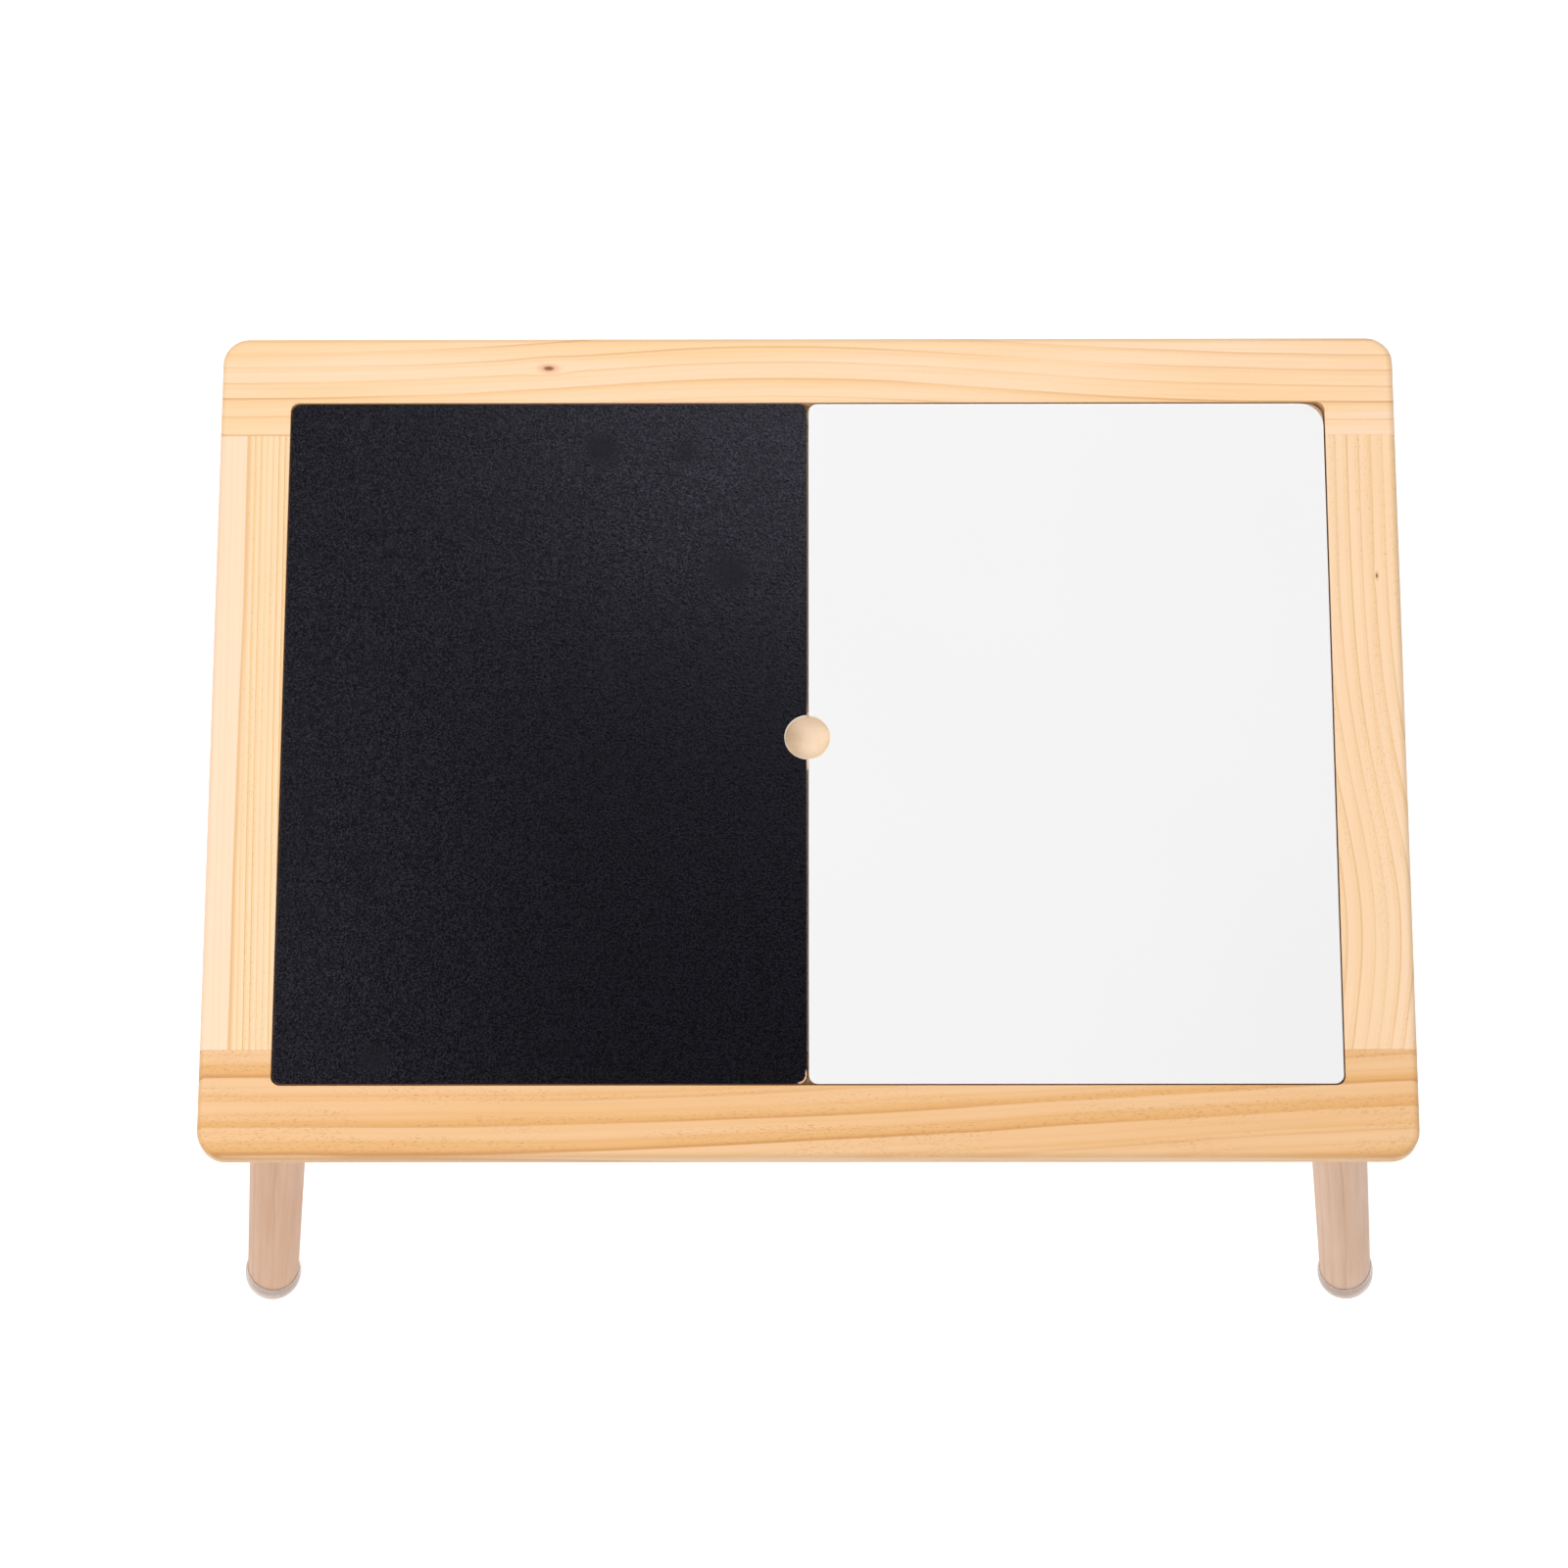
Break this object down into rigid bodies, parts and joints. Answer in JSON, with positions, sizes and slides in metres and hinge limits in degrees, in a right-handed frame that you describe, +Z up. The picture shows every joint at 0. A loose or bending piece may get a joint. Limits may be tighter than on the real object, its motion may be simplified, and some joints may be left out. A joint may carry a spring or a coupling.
{
  "type": "kids easel table",
  "caption": "Low children's wooden activity table: lift-off chalk and dry-wipe panels with a shared finger hole over storage bins, on splayed round legs with clear foot caps.",
  "frame": {"origin": "on the floor, under the centre of the tabletop", "axes": "+Z up, +X along the table's length to the right, +Y to the back; the front long side is at -Y"},
  "size_m": [0.7194, 0.48, 0.48],
  "materials": {
    "pine": "clear satin lacquer on knotty pine",
    "leg_pine": "turned pine dowel, clear lacquer",
    "fibreboard": "raw fibreboard edge",
    "chalk_face": "matt black chalkboard film with a fine tooth",
    "dry_wipe_face": "smooth white dry-wipe film",
    "clear_cap": "clear soft vinyl",
    "bin_plastic": "moulded white polypropylene",
    "zinc_steel": "bright zinc plate",
    "insert_zinc": "yellow zinc plate",
    "beech": "fluted beech dowel"
  },
  "bodies": {
    "table": {"back_board": "pine", "bar_dowel_back_left": "beech", "bar_dowel_back_right": "beech", "bar_dowel_front_left": "beech", "bar_dowel_front_right": "beech", "centre_bar": "pine", "cleat_screw_back_left_inner": "zinc_steel", "cleat_screw_back_left_outer": "zinc_steel", "cleat_screw_back_right_inner": "zinc_steel", "cleat_screw_back_right_outer": "zinc_steel", "cleat_screw_front_left_inner": "zinc_steel", "cleat_screw_front_left_outer": "zinc_steel", "cleat_screw_front_right_inner": "zinc_steel", "cleat_screw_front_right_outer": "zinc_steel", "dowel_back_left_1": "beech", "dowel_back_left_2": "beech", "dowel_back_right_1": "beech", "dowel_back_right_2": "beech", "dowel_front_left_1": "beech", "dowel_front_left_2": "beech", "dowel_front_right_1": "beech", "dowel_front_right_2": "beech", "foot_cap_back_left": "clear_cap", "foot_cap_back_right": "clear_cap", "foot_cap_front_left": "clear_cap", "foot_cap_front_right": "clear_cap", "front_board": "pine", "hanger_bolt_back_left": "zinc_steel", "hanger_bolt_back_right": "zinc_steel", "hanger_bolt_front_left": "zinc_steel", "hanger_bolt_front_right": "zinc_steel", "left_board": "pine", "left_cleat": "pine", "leg_back_left": "leg_pine", "leg_back_right": "leg_pine", "leg_front_left": "leg_pine", "leg_front_right": "leg_pine", "right_board": "pine", "right_cleat": "pine", "threaded_insert_back_left": "insert_zinc", "threaded_insert_back_right": "insert_zinc", "threaded_insert_front_left": "insert_zinc", "threaded_insert_front_right": "insert_zinc"},
    "left_bin": {"left_bin": "bin_plastic"},
    "right_bin": {"right_bin": "bin_plastic"},
    "left_panel": {"left_panel_core": "fibreboard", "left_panel_top_face": "chalk_face", "left_panel_under_face": "dry_wipe_face"},
    "right_panel": {"right_panel_core": "fibreboard", "right_panel_top_face": "dry_wipe_face", "right_panel_under_face": "chalk_face"}
  },
  "joints": [
    {"name": "left_bin_lift", "type": "slide", "parent": "table", "child": "left_bin", "axis": [0, 0, 1], "range_m": [0, 0.15]},
    {"name": "left_panel_lift", "type": "slide", "parent": "left_bin", "child": "left_panel", "axis": [0, 0, 1], "range_m": [0, 0.1]},
    {"name": "right_bin_lift", "type": "slide", "parent": "table", "child": "right_bin", "axis": [0, 0, 1], "range_m": [0, 0.15]},
    {"name": "right_panel_lift", "type": "slide", "parent": "right_bin", "child": "right_panel", "axis": [0, 0, 1], "range_m": [0, 0.1]}
  ]
}
